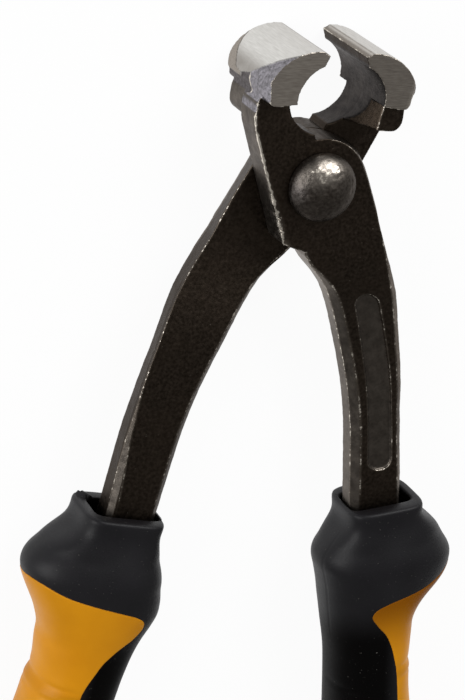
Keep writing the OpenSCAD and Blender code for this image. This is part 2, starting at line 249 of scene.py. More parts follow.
def put(nt, socket, v):
    """Link a socket, or set a plain number or colour."""
    if isinstance(v, bpy.types.NodeSocket):
        nt.links.new(v, socket)
    elif isinstance(v, (int, float)):
        socket.default_value = v
    else:
        socket.default_value = (*v, 1)


def coords(nt, scale=(1, 1, 1)):
    tc = nt.nodes.new("ShaderNodeTexCoord")
    mp = nt.nodes.new("ShaderNodeMapping")
    mp.inputs["Scale"].default_value = scale
    put(nt, mp.inputs["Vector"], tc.outputs["Object"])
    return mp.outputs["Vector"]


def noise_tex(nt, vec, scale, detail=4.0, rough=0.55):
    nd = nt.nodes.new("ShaderNodeTexNoise")
    nd.inputs["Scale"].default_value = scale
    nd.inputs["Detail"].default_value = detail
    nd.inputs["Roughness"].default_value = rough
    put(nt, nd.inputs["Vector"], vec)
    return nd.outputs["Fac"]


def mix(nt, fac, a, b):
    nd = nt.nodes.new("ShaderNodeMix")
    nd.data_type = "RGBA"
    put(nt, nd.inputs["Factor"], fac)
    put(nt, nd.inputs[6], a)
    put(nt, nd.inputs[7], b)
    return nd.outputs[2]


def mixf(nt, fac, a, b):
    nd = nt.nodes.new("ShaderNodeMix")
    nd.data_type = "FLOAT"
    put(nt, nd.inputs["Factor"], fac)
    put(nt, nd.inputs[2], a)
    put(nt, nd.inputs[3], b)
    return nd.outputs[0]


def attr(nt, name):
    nd = nt.nodes.new("ShaderNodeAttribute")
    nd.attribute_name = name
    return nd.outputs["Fac"]


def maths(nt, op, a, b=0.0, clamp=False):
    nd = nt.nodes.new("ShaderNodeMath")
    nd.operation = op
    nd.use_clamp = clamp
    put(nt, nd.inputs[0], a)
    put(nt, nd.inputs[1], b)
    return nd.outputs[0]


def map_range(nt, v, a, b, c=0.0, d=1.0):
    nd = nt.nodes.new("ShaderNodeMapRange")
    for name, value in (("From Min", a), ("From Max", b), ("To Min", c), ("To Max", d)):
        nd.inputs[name].default_value = value
    put(nt, nd.inputs["Value"], v)
    return nd.outputs["Result"]


def bump(nt, height, strength, distance, normal=None):
    nd = nt.nodes.new("ShaderNodeBump")
    nd.inputs["Strength"].default_value = strength
    nd.inputs["Distance"].default_value = distance
    put(nt, nd.inputs["Height"], height)
    if normal is not None:
        put(nt, nd.inputs["Normal"], normal)
    return nd.outputs["Normal"]


def steel_material(name, skin_low, skin_high):
    """Forged skin, ground faces, brushed side faces, hammered facets and worn edges, by the mesh's attributes, which
    also carry painted shade in the throat and on the lower crown, and painted light on the sides, the hammered facets
    and the rivet's head.
    """
    m, nt, bsdf = material(name)
    vec = coords(nt)
    broad = noise_tex(nt, vec, 80, 3)
    grain = noise_tex(nt, vec, 1300, 5, 0.65)
    fine = noise_tex(nt, vec, 3800, 2, 0.6)
    speck = noise_tex(nt, vec, 950, 3, 0.6)
    patch = noise_tex(nt, vec, 330, 5, 0.65)
    base = mix(nt, map_range(nt, grain, 0.35, 0.68), skin_low, skin_high)
    base = mix(nt, map_range(nt, broad, 0.3, 0.7, 0.0, 0.4), base, SKIN_PATCH)
    # Light specks where the skin is scratched through
    base = mix(nt, map_range(nt, speck, 0.70, 0.78, 0.0, 0.6), base, SCRATCH)
    # Brushed side faces; how much of this lighter colour each side gets is partly painted light and shade
    side = mix(nt, map_range(nt, patch, 0.3, 0.7), *SIDE)
    base = mix(nt, attr(nt, "side"), base, side)
    # Hammered metal, painted lighter on one facet than on the other as painted light
    rough_metal = mix(nt, map_range(nt, grain, 0.35, 0.7), *HAMMERED)
    base = mix(nt, attr(nt, "hammered"), base, rough_metal)
    # Painted shade in the throat
    throat = mix(nt, map_range(nt, patch, 0.35, 0.65), *THROAT_SHADE)
    base = mix(nt, attr(nt, "hollow"), base, throat)
    # Ground faces, with grinding lines
    lines = noise_tex(nt, coords(nt, FACE_LINES), 2300, 3, 0.6)
    streaks = noise_tex(nt, coords(nt, CROWN_LINES), 2300, 4, 0.65)
    ground = mix(nt, map_range(nt, streaks, 0.3, 0.7), *GROUND)
    # Painted shade: the crown's ground face darkens towards its lower end, unevenly
    crown_shade = maths(nt, "MULTIPLY", attr(nt, "painted_light"), map_range(nt, patch, 0.25, 0.6, 0.75, 1.0))
    ground = mix(nt, crown_shade, ground, GROUND_SHADED)
    base = mix(nt, attr(nt, "ground"), base, ground)
    brushed = mix(nt, map_range(nt, lines, 0.3, 0.7), *BRUSHED)
    base = mix(nt, attr(nt, "face"), base, brushed)
    # Rubbed edges, and edges worn to bright metal, broken up by the patches and the specks; the same bright colour is
    # also a painted highlight on the rivet's head and on the ridge of the hammered facets
    rubbed = maths(nt, "MULTIPLY", attr(nt, "rub"), map_range(nt, patch, 0.3, 0.6, 0.45, 1.0))
    base = mix(nt, rubbed, base, RUBBED)
    wear_and_highlight = maths(nt, "ADD", attr(nt, "wear_and_highlight"), map_range(nt, patch, 0.3, 0.7, -0.28, 0.22))
    wear_and_highlight = maths(nt, "ADD", wear_and_highlight, map_range(nt, speck, 0.3, 0.7, -0.34, 0.3))
    wear_and_highlight = map_range(nt, wear_and_highlight, 0.42, 0.66)
    base = mix(nt, wear_and_highlight, base, WORN_AND_HIGHLIGHT)
    put(nt, bsdf.inputs["Base Color"], base)
    bsdf.inputs["Metallic"].default_value = 1.0
    bsdf.inputs["Specular Tint"].default_value = (*GRAZING, 1)
    rough = map_range(nt, grain, 0.3, 0.7, 0.34, 0.52)
    rough = mixf(nt, attr(nt, "ground"), rough, 0.36)
    rough = mixf(nt, attr(nt, "face"), rough, 0.33)
    rough = mixf(nt, wear_and_highlight, rough, 0.3)
    put(nt, bsdf.inputs["Roughness"], rough)
    height = maths(nt, "ADD", maths(nt, "MULTIPLY", grain, 0.75), maths(nt, "MULTIPLY", fine, 0.25))
    smooth = maths(nt, "MAXIMUM", attr(nt, "ground"), attr(nt, "face"))
    calm = maths(nt, "SUBTRACT", 1.0, maths(nt, "MULTIPLY", smooth, 0.9), clamp=True)
    height = maths(nt, "MULTIPLY", height, calm)
    cuts = mixf(nt, attr(nt, "ground"), lines, streaks)
    height = maths(nt, "ADD", height, maths(nt, "MULTIPLY", maths(nt, "MULTIPLY", cuts, smooth), 0.15))
    put(nt, bsdf.inputs["Normal"], bump(nt, height, 0.6, 0.00012))
    return m


def soft_material(name, low, high, deep, rim, rough, gloss, dust):
    """Moulded plastic: its painted shade, which also takes most of the gloss away, and its rim come from the mesh's
    attributes.
    """
    m, nt, bsdf = material(name)
    vec = coords(nt)
    broad = noise_tex(nt, vec, 70, 3)
    grain = noise_tex(nt, vec, 3000, 4, 0.6)
    base = mix(nt, map_range(nt, broad, 0.3, 0.7), low, high)
    # Painted shade
    base = mix(nt, attr(nt, "shade"), base, deep)
    base = mix(nt, attr(nt, "rim"), base, rim)
    spots = noise_tex(nt, vec, 2600, 2, 0.5)
    base = mix(nt, map_range(nt, spots, 0.73, 0.77, 0.0, dust), base, DUST)
    put(nt, bsdf.inputs["Base Color"], base)
    put(nt, bsdf.inputs["Roughness"], map_range(nt, grain, 0.3, 0.7, rough - 0.06, rough + 0.08))
    put(nt, bsdf.inputs["Specular IOR Level"], mixf(nt, attr(nt, "shade"), gloss, gloss * 0.25))
    put(nt, bsdf.inputs["Normal"], bump(nt, grain, 0.5, 0.00007))
    return m


STEEL = steel_material("forged_steel", (0.019, 0.0142, 0.0103), (0.051, 0.0395, 0.0305))
RIVET = steel_material("rivet_steel", (0.036, 0.03, 0.026), (0.1, 0.088, 0.077))
# The third colour of each plastic is the colour of its painted shade
BLACK = soft_material(
    "soft_black", (0.0045, 0.0042, 0.0055), (0.0085, 0.008, 0.0098), (0.0009, 0.0007, 0.0007),
    (0.008, 0.008, 0.0095), 0.46, 0.24, 0.6
)
AMBER = soft_material(
    "soft_amber", (0.6, 0.235, 0.0025), (0.67, 0.275, 0.0035), (0.2, 0.062, 0.001), (0.16, 0.07, 0.004), 0.4, 0.2, 0.1
)
CORE = soft_material(
    "core_plastic", (0.05, 0.05, 0.055), (0.07, 0.07, 0.075), (0.05, 0.05, 0.05), (0.06, 0.06, 0.06), 0.5, 0.4, 0.1
)


# ---------------------------------------------------------------- levers
# Height of the ridge between the two hammered facets at the back of the jaw
FACET_RIDGE = [(17, -4.0), (20.9, -0.9), (22.5, 3.5), (26.5, 1.5)]
# The two slanting ends of the crown's ground surface, by height along the jaw
GROUND_HIGH = [(25.4, -3.0), (26.5, 1.5), (28.6, 4.6), (30.9, 8.5), (32.3, 11.2), (33.2, 13.5)]
GROUND_LOW = [(25.4, -3.0), (25.7, -5.6), (29.0, -9.6), (32.0, -12.0), (33.2, -14.5)]
# How far each hand-finished shank stands out from the drawn one, by place along it
OUTER_FIT = {
    "front": [(-80, 0), (-72, -0.5), (-63, -0.7), (-56, -0.3), (-47, 0.1), (-38, 0.5), (-31, 0.8), (-26, 0.5),
              (-20, 0.1), (-13, 0.1), (-8, 0.4), (0, 0.4), (8, 0)],
    "rear": [(-68, 0), (-58, -0.2), (-48, 0), (-43, 0.4), (-38, 0.8), (-32, 1.0), (-27, 0.5), (-23.5, 0),
             (-18, -0.8), (-2, -0.8), (4, -0.6), (10, 0)],
}
INNER_FIT = [(-87, 0.8), (-75, 0.95), (-62, 1.05), (-50, 1.0), (-43, 0.85), (-33, 0.5), (-27, 0.35), (-24, 0.65),
             (-22, 1.0), (-19.7, 1.4), (-17, 1.3), (-15, 0.7), (-13.5, 0)]
INNER_SHARE = {"front": 1.25, "rear": 0.9}
# Lean of the outer side towards the lap, and the chamfers there: the drawn one and the one that is seen
LAP_LEAN = [(-86, 0), (-81, 0.1), (-73, 0.8), (-63, 1.15), (-56, 1.6), (-48, 1.9), (-41, 1.8), (-31, 1.6),
            (-21.5, 2.0), (-14, 2.7), (-7, 3.1), (0, 3.0), (5, 2.4), (10, 0)]
DRAWN_CHAMFER = [(-88, 1.28), (-28, 1.3), (-24, 0.85), (-18, 0.3), (-14, 0)]
SEEN_CHAMFER = [(-86, 1.9), (-76, 1.4), (-66, 0.75), (-56, 0.15), (-46, 0)]
# Ends of the sunk pad on the shank, and the turn from which an edge of the solid counts as sharp
PAD = (-78.0, -29.5)
SHARP = math.radians(28)
# Gap that the filled crotch keeps from the lap plane
LAP_GAP = 0.3


def reach(x, y, pick, low, high):
    """Furthest x of the picked points in thin slices of y, for every y."""
    places = np.arange(low, high, 0.5)
    slot_of = np.floor((y - low) / 0.5).astype(int)
    best = np.full(len(places), np.nan)
    for k in range(len(places)):
        inside = pick & (slot_of == k)
        if inside.any():
            best[k] = x[inside].max()
    good = ~np.isnan(best)
    smooth = np.convolve(np.pad(best[good], 2, "edge"), np.ones(5) / 5, "valid")
    return np.interp(y, places[good] + 0.25, smooth)


def shank_middle(y):
    """Height of the middle of the shank's thickness, which comes down to the lap plane below the joint."""
    return SHANK_MID * (1 - smoothstep(-y, 17, 46))


def fitted_shank(q, edge_d, side):
    """Fits the shank to the forging: outer side leaning to the lap, inner side filled at the crotch.

    Gives the points, their distances from the sharp edges, and the shank's outer and inner reach at each point.
    """
    x, y, z = q.T.copy()
    lap = shank_middle(y) - SHANK_HALF
    on = (y < CHEEK_TOP) & (z > -5)
    out = reach(x, y, on, TANG_Y, CHEEK_TOP)
    inn = -reach(-x, y, on & (y < CROTCH_Y), TANG_Y, CROTCH_Y)
    # The drawn chamfer is folded out to the smaller one that is seen
    drawn, seen = along(DRAWN_CHAMFER, y), along(SEEN_CHAMFER, y)
    u, w = x - (out - drawn), z - lap
    share = (u + w) / np.maximum(2 * drawn, 0.01)
    part = on & (drawn > 0.15) & (np.abs(u - w) < 0.4) & (share > -0.05) & (share < 1.05)
    keep = np.clip(seen / np.maximum(drawn, 0.01), 0, 0.98)
    bend = (1 - keep) / 2
    flat_place = np.clip(share, 0, 1) * drawn
    first = np.clip(share / bend, 0, 1)
    second = np.clip((share - bend) / np.maximum(keep, 0.001), 0, 1)
    third = np.clip((share - 1 + bend) / bend, 0, 1)
    new_x = first * (drawn - seen) + second * seen
    new_z = second * seen + third * (drawn - seen)
    fold = part & (seen < drawn)
    x = np.where(fold, x + new_x - flat_place, x)
    z = np.where(fold, z + new_z - flat_place, z)
    zone = on & (y < CROTCH_Y) & (x > out - drawn - 0.9) & (z < lap + drawn + 0.9)
    corner = np.minimum(np.hypot(x - out + seen, z - lap), np.hypot(x - out, z - lap - seen))
    edge_d = np.where(zone, corner, edge_d)
    # Both sides are moved to their fitted places, and the outer one leans
    toward = smoothstep(x, out - 6, out - 1)
    leaning = np.clip(1 - (z - lap) / (2 * SHANK_HALF), 0, 1) * np.clip((x - out + 5) / 5, 0, 1)
    inward = (1 - smoothstep(x, inn + 1, inn + 6)) * (y < CROTCH_Y + 0.5)
    shift = along(OUTER_FIT[side], y) * toward + along(LAP_LEAN, y) * leaning
    shift = shift - along(INNER_FIT, y) * INNER_SHARE[side] * inward
    x = x + np.where(on, shift, 0)
    # The filled crotch stays clear of the other lever when the jaws close
    filled = on & (y < CROTCH_Y + 0.5) & (y > -23) & (x < inn + 0.4) & (z < 4)
    z = np.where(filled, np.maximum(z, LAP_GAP), z)
    return np.stack([x, y, z], 1), edge_d, out, inn


def lever(side, node_name):
    """One forged lever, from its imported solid: form, forging marks, and where the steel is ground or worn."""
    ob = remeshed(node_name, node_name + "_forging", VOXEL)
    me = ob.data
    e = edges(me)
    row = points(me)
    edge_d = distances(sharp_edges(node_name, SHARP), row)
    q = relaxed(to_closed(row, side), e, 3)
    q, edge_d, out, inn = fitted_shank(q, edge_d, side)
    q = relaxed(q, e, 2)
    set_points(me, from_closed(q, side))
    n = to_closed(normals(me) + np.array([0, 0, HALF_W]), side)
    x, y, z = q.T
    crown_d = np.hypot(x + CROWN_X, y - CROWN_Y)
    throat_d = np.hypot(x - THROAT[0], y - THROAT[1])
    flat = np.abs(n[:, 2])
    # The crown is ground up to a slanting line at the back
    on_crown = smoothstep(crown_d, CROWN_R - 0.5, CROWN_R - 0.2) * (y > FOOT_Y - 2) * (flat < 0.7)
    high, low = along(GROUND_HIGH, y), along(GROUND_LOW, y)
    inside = np.minimum(high - z, z - low)
    ground = on_crown * smoothstep(inside, -0.12, 0.12)
    margin = on_crown * smoothstep(low - z, -0.1, 0.35) * (z < -2)
    forged_back = on_crown * smoothstep(-inside, -0.1, 0.35)
    back = (y > FOOT_Y + 0.5) * (n[:, 0] < -0.6) * (1 - ground)
    hammered = np.clip(np.maximum(forged_back, back), 0, 1)
    ridge = along(FACET_RIDGE, y)
    # Faces of the jaw, ground flat, and the strip behind the edge
    face = (flat > 0.75) * (np.abs(z) > HALF_W - 0.5) * (y > FOOT_Y - 0.5)
    strip = (flat < 0.5) * (n[:, 0] > 0.35) * (y > EDGE_Y - 0.1) * (x > -2.2)
    # The throat, where shade is painted
    hollow = (np.abs(throat_d - THROAT[2]) < 0.6) * (flat < 0.5) * (y > 12.5)
    sides = smoothstep(1 - flat, 0.25, 0.7) * (1 - hammered) * (1 - ground) * (1 - hollow)
    # Painted light and shade on the sides: light on the cheek's flank, dim on the shank's outer side, none on the
    # neck's inner wall, which lies in shade, and a painted sheen on the shank's inner side
    inner_side = (y < CROTCH_Y + 0.5) & (x < (out + inn) / 2)
    outer_painted_light = 0.1 + 0.3 * smoothstep(y, -20, 12)
    painted_light = np.where(x < -5, 1.0, outer_painted_light)
    painted_light = np.where(inner_side, 0.8 + 0.2 * smoothstep(y, -50, -20), painted_light)
    painted_inner_sheen = inner_side * smoothstep(1 - flat, 0.25, 0.7) * (0.12 + 0.4 * smoothstep(y, -45, -18))
    sides = sides * painted_light * (1 - (n[:, 0] > 0.1) * (y > 10.5) * (x < 2))
    slope = smoothstep(1 - flat, 0.1, 0.25) * smoothstep(flat, 0.3, 0.5) * (y < -15)
    sides = np.maximum(sides, slope * np.where(inner_side, 0.6, 0.75 * smoothstep(-y, 52, 70)))
    # Shallow dents of the forging where it is seen, and hammer marks at the back of the jaw
    near = np.where((y > -95) | (np.abs(z) > 9))[0]
    dents = np.zeros(len(q))
    dents[near] = rough_field(q[near], 0.42, 2, 3.0)
    marks = np.zeros(len(q))
    beaten = np.where(hammered > 0.05)[0]
    if len(beaten):
        marks[beaten] = rough_field(q[beaten], 1.0, 3, 9.0)
    depth = 0.035 * np.clip(dents, -1, 1) * (1 - ground) * (1 - face) + 0.03
    tilt = np.clip(np.where(z > ridge, 0.05 * (z - ridge), 0.07 * (ridge - z)), 0, 0.25)
    cut = hammered * (1 - margin) * smoothstep(y, FOOT_Y, FOOT_Y + 3)
    depth = depth + cut * (0.12 + tilt + 0.12 * np.clip(marks, -1, 1))
    # Edges are beaten down a little, unevenly, and most on the front cheek's flank
    flank = smoothstep(-x, 5, 7) * smoothstep(y, -14, -12) * (z > 4) * (side == "front") * (y < FOOT_Y)
    foot = flank * smoothstep(-y, -3, 8)
    worn = np.clip(1 - edge_d / (0.5 + 0.5 * flank + 1.1 * foot), 0, 1) * (1 + np.clip(dents, -1, 1))
    depth = depth + (0.035 + 0.16 * flank + 0.38 * foot) * worn
    q = q - n * depth[:, None]
    set_points(me, from_closed(q, side))
    shut = (np.abs(throat_d - THROAT[2]) < 1.5) & (np.abs(z) < 11.2) & (y > 10)
    shut = shut | ((hammered > 0.3) & (np.abs(z) < 11.2))
    pad = (y > PAD[0] - 0.5) & (y < PAD[1] + 0.5) & (z > 2) & (np.abs(x - (out + inn) / 2) < 4)
    rim = y > FOOT_Y - 1
    line = np.clip(1 - edge_d / (0.36 + 0.6 * flank + 0.8 * foot), 0, 1) * np.where(shut, 0.0, 1.0)
    middle = shank_middle(y)
    far_edge = (y < 9) * smoothstep(x, out - 1.6, out - 0.7) * smoothstep(z - middle, 1.9, 2.8) * (flat < 0.97)
    wear_and_highlight = line * np.maximum(np.where(rim, 0.85, np.where(pad, 0.7, 0.66)), 1.25 * flank)
    wear_and_highlight = wear_and_highlight * (1 - 0.8 * ground) * np.where(y < -84, 0.0, 1.0)
    # The ridge between the hammered facets is worn bright and also carries a painted highlight
    worn_lit_ridge = hammered * np.clip(1 - np.abs(z - ridge) / 0.5, 0, 1) * (1 - margin)
    float_attribute(me, "wear_and_highlight", np.maximum(wear_and_highlight, worn_lit_ridge * 0.85))
    float_attribute(me, "rub", np.maximum(line * np.where(y < -84, 0.2, 0.9), 0.9 * far_edge))
    # Painted shade on the lower crown
    float_attribute(me, "painted_light", ground * smoothstep(30.5 - y, 0, 3.6))
    float_attribute(me, "ground", np.clip(ground, 0, 1))
    # The rear jaw's side face was ground in two passes
    passes = 1.0 if side == "front" else np.where(x < -13.2, 1.0, 0.74)
    polished = np.maximum(face * passes, strip * 0.6)
    polished = np.maximum(polished, painted_inner_sheen)
    float_attribute(me, "face", np.clip(np.maximum(polished, margin * 0.85), 0, 1))
    # Painted light: the facet above the ridge gets the full hammered colour and the one below it only a third
    float_attribute(me, "hammered", hammered * np.where(z > ridge, 1.0, 0.35) * (1 - margin))
    float_attribute(me, "hollow", hollow.astype(float))
    pad_floor = pad & (n[:, 2] > 0.8) & (z < middle + 3.8)
    float_attribute(me, "side", np.clip(sides + 0.5 * pad_floor, 0, 1))
    shade_smooth(me)
    me.materials.append(STEEL)
    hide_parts(node_name)
    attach(ob, "front_half" if side == "front" else "rear_half")


def rivet():
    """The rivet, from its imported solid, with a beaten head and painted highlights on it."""
    ob = remeshed("pivot_rivet", "rivet_forging", RIVET_VOXEL)
    me = ob.data
    e = edges(me)
    p = relaxed(points(me), e, 6)
    set_points(me, p)
    n = normals(me)
    top = smoothstep(p[:, 2], 20.4, 21.2)
    away = np.hypot(p[:, 0], p[:, 1])
    inner = 1 - smoothstep(away, 6.4, 8.0)
    field = np.clip(rough_field(p, 0.3, 2, 21.0), -1, 1)
    small = np.clip(rough_field(p, 1.2, 2, 4.0), -1, 1)
    p = p - n * (top * (0.13 + (0.16 * field + 0.06 * small) * inner) + 0.01)[:, None]
    set_points(me, p)
    # Painted highlights on the head: a broad one on its upper flank, and weaker ones on its left and right flanks
    bearing = np.degrees(np.arctan2(p[:, 1], p[:, 0]))
    left = np.minimum(np.abs(bearing - 180), np.abs(bearing + 180))
    bright = top * smoothstep(away, 1.0, 4.2) * (1 - 0.5 * smoothstep(away, 6.6, 8)) * hump(bearing, 108, 42)
    flank = top * smoothstep(away, 4.2, 6.6) * hump(left, 0, 28)
    far = top * smoothstep(away, 2.5, 5.5) * hump(bearing, -5, 38)
    zero = np.zeros(len(p))
    float_attribute(me, "wear_and_highlight", bright * 0.5)
    float_attribute(me, "hammered", flank * 0.1)
    float_attribute(me, "face", bright * 0.7)
    for name in ("ground", "hollow", "rub", "painted_light"):
        float_attribute(me, name, zero)
    float_attribute(me, "side", np.maximum(top * 0.06, far * 0.6))
    shade_smooth(me)
    me.materials.append(RIVET)
    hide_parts("pivot_rivet")
    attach(ob, "rear_half")


# ---------------------------------------------------------------- grips
# Reaches of a grip from its axis, and the power of its oval, by place down from the mouth
PLACES = {
    "out": [(3, 10.2), (16.6, 19.6), (34, 9.6), (44, 9.6), (47.2, 10.4), (84, 13.2), (114, 10.8), (129, 12.6)],
    "in": [(3, 9.8), (16.6, 15.8), (44, 12.4), (84, 12.2), (114, 10.8), (129, 12.6)],
    "deep": [(3, 8.9), (16.6, 12.0), (39, 10.4), (84, 11.4), (114, 10.8), (129, 11.4)],
    "square": [(0, 4.4), (3, 4.2), (11, 2.35), (16.6, 2.3)],
}
END_ROUND = 7.0
END_START = 129
# The mouth's hole: its middle, its two half widths and the power of its oval
HOLE_X, HOLE_W, HOLE_D, HOLE_POWER = -0.75, 8.15, 4.8, 6.0
# Half the grip's depth over which lines slant, the inlay's thickness and the depth of its bed
SLANT_D = 11
INLAY_T = 1.4
BED = 0.9
# Shallow bands across the inlay: place, width and depth
BANDS = ((44.2, 0.55, 0.2), (47.6, 0.6, 0.16))
# Points round the sleeve and across the inlay
SLEEVE_SIDES = 192
INLAY_COLS = 96
# The two soft grips were pushed on by hand and sit a little differently
FITTED = {
    "front": {
        "out": [(3, -0.3), (8, 1.6), (13, -0.2), (18, -0.2), (22, 0.2), (27, -0.8), (33, -0.7), (40, -1.1),
                (48, -1.9), (60, -1.9), (96, -1.6), (112, 0)],
        "in": [(1, 0.3), (5, 0.3), (10, 1.7), (12, 1.8), (17, 0.3), (21, -0.2), (27, 0), (34, 0.45), (50, 0.3),
               (80, 0.3), (110, 0)],
    },
    "rear": {
        "out": [(2, 0.4), (5, 0.8), (9.5, 2.4), (12, 2.0), (16, 0.9), (21, 0.3), (26, 0.9), (30, 1.7), (35, 1.7),
                (42, 0.6), (49, 0.6), (90, 0.4), (110, 0)],
        "in": [(2, 0), (8, -0.25), (12, -1.0), (17, -1.0), (21, 0.3), (24, 0.95), (27, 0.65), (30.5, 0), (41, -0.4),
               (52, -0.9), (70, -0.8), (100, 0)],
    },
}


def eased(table, s):
    """Value at s in a table of places, level at each place and eased between them."""
    s = np.asarray(s, float)
    v = np.full(s.shape, float(table[0][1]))
    for (a, va), (b, vb) in zip(table, table[1:]):
        v = np.where(s >= a, va + (vb - va) * smoothstep(s, a, b), v)
    return v


def section(side, s, angles, inset=0.0):
    """Points on the grip's surface at distances s from its mouth, in the grip's own frame, in mm."""
    s = np.broadcast_to(np.asarray(s, float), angles.shape)
    at = np.minimum(s, GRIP_LEN - END_ROUND)
    share = np.sqrt(np.clip(1 - ((s - at) / END_ROUND) ** 2, 0, 1))
    out = eased(PLACES["out"], at) + curve(FITTED[side]["out"], at)
    inn = eased(PLACES["in"], at) + curve(FITTED[side]["in"], at)
    deep = eased(PLACES["deep"], at)
    e = eased(PLACES["square"], at)
    c, q = np.cos(angles), np.sin(angles)
    r = share * (np.abs(c) ** e + np.abs(q) ** e) ** (-1 / e)
    # The two reaches run into each other over the faces
    reach = np.where(c > 0, out, inn)
    return np.stack([(reach - inset) * c * r, -s, (deep - inset) * q * r], -1)


def from_grip(p, side):
    c, s = math.cos(TILT), math.sin(TILT)
    q = np.stack([c * p[:, 0] - s * p[:, 1] + MOUTH[0], s * p[:, 0] + c * p[:, 1] - MOUTH[1], p[:, 2]], 1)
    return from_closed(q, side)


# Border of the amber inlay: place down the grip against distance from its axis, and its slant across the faces
UPPER = [
    (17.9, 19.9), (18.6, 17.2), (19.9, 13.2), (20.7, 10.2), (21.5, 6.0), (22.2, 1.8), (22.9, -1.9), (23.6, -4.6),
    (24.4, -6.6), (25.2, -7.6), (26, -8.05), (26.8, -8.15), (27.6, -7.95), (28.5, -7.4), (29.5, -6.7), (30.5, -5.9),
    (32, -4.4), (33.6, -3.05), (35, -2.15), (36.5, -1.35), (38, -0.75), (39.8, -0.2), (42, 0.5), (44, 1.0),
    (48, 1.5), (52, 1.8),
]
LOWER = [
    (93, 1.8), (98, 1.2), (102, -0.4), (105, -2.6), (107.4, -5.2), (109, -7.2), (110.4, -8.1), (111.4, -7.8),
    (112.2, -6.0), (113.2, -2.0), (114.4, 3.5), (115.6, 9.0), (117, 14.4),
]
SLANT = [(20.5, 0), (21.5, 0.9), (22.9, 1.5), (24.4, 2.2), (26.8, 2.55), (30.5, 2.5), (33.6, 1.85), (36.5, 1.3),
         (39.8, 1.0), (44, 0.6), (52, 0.4), (140, 0.4)]
BORDER_S, INLAY_END = UPPER[0][0], LOWER[-1][0]


def curve(table, s):
    """Smooth curve through a table's points."""
    xs, ys = (np.array(v, float) for v in zip(*table))
    slope = np.gradient(ys, xs)
    s = np.clip(s, xs[0], xs[-1])
    k = np.clip(np.searchsorted(xs, s) - 1, 0, len(xs) - 2)
    h = xs[k + 1] - xs[k]
    u = (s - xs[k]) / h
    h00, h10 = (1 + 2 * u) * (1 - u) ** 2, u * (1 - u) ** 2
    h01, h11 = u * u * (3 - 2 * u), u * u * (u - 1)
    return h00 * ys[k] + h10 * h * slope[k] + h01 * ys[k + 1] + h11 * h * slope[k + 1]


def lean(at, z):
    """How far down the grip a line of the inlay lies, in front of the middle and behind it."""
    return 1.1 * np.clip(z / SLANT_D, -1, 1) * (1 - smoothstep(at, 60, 90))


def past_border(at, x, z):
    """Distance of a point inside the inlay's border, measured across the grip."""
    return x - curve(UPPER + LOWER, at) - curve(SLANT, at) * np.clip(z / SLANT_D, -1, 1)


def outward(ring):
    """Unit vectors away from the grip's axis."""
    away = ring * np.array([1, 0, 1])
    return away / np.maximum(np.linalg.norm(away, axis=1), 1e-6)[:, None]


def slanted(side, at, angles, inset=0.0):
    """Points of one line across the inlay, at place `at` down the grip."""
    level = section(side, at, angles)
    return section(side, at + lean(at, level[:, 2]), angles, inset)


def span(side, at):
    """Angles at which the inlay's border crosses the two faces of the grip."""
    fine = np.linspace(0, math.pi, 721)
    ends = []
    for sign in (-1, 1):
        ring = slanted(side, at, sign * fine)
        d = past_border(np.full(len(fine), at), ring[:, 0], ring[:, 2])
        out = np.where(d < 0)[0]
        if not len(out) or out[0] == 0:
            return None
        k = out[0]
        f = d[k - 1] / (d[k - 1] - d[k])
        ends.append(sign * (fine[k - 1] + f * (fine[k] - fine[k - 1])))
    return ends


def new_object(name, p, faces, side, mat, node_name):
    """Object of points in a grip's own frame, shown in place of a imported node."""
    me = bpy.data.meshes.new(name)
    me.from_pydata((from_grip(p, side) * MM).tolist(), [], faces)
    me.update()
    ob = added(name, me)
    bm = bmesh.new()
    bm.from_mesh(me)
    bmesh.ops.recalc_face_normals(bm, faces=bm.faces)
    bm.to_mesh(me)
    bm.free()
    shade_smooth(me)
    me.materials.append(mat)
    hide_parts(node_name)
    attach(ob, "front_half" if side == "front" else "rear_half")
    return me


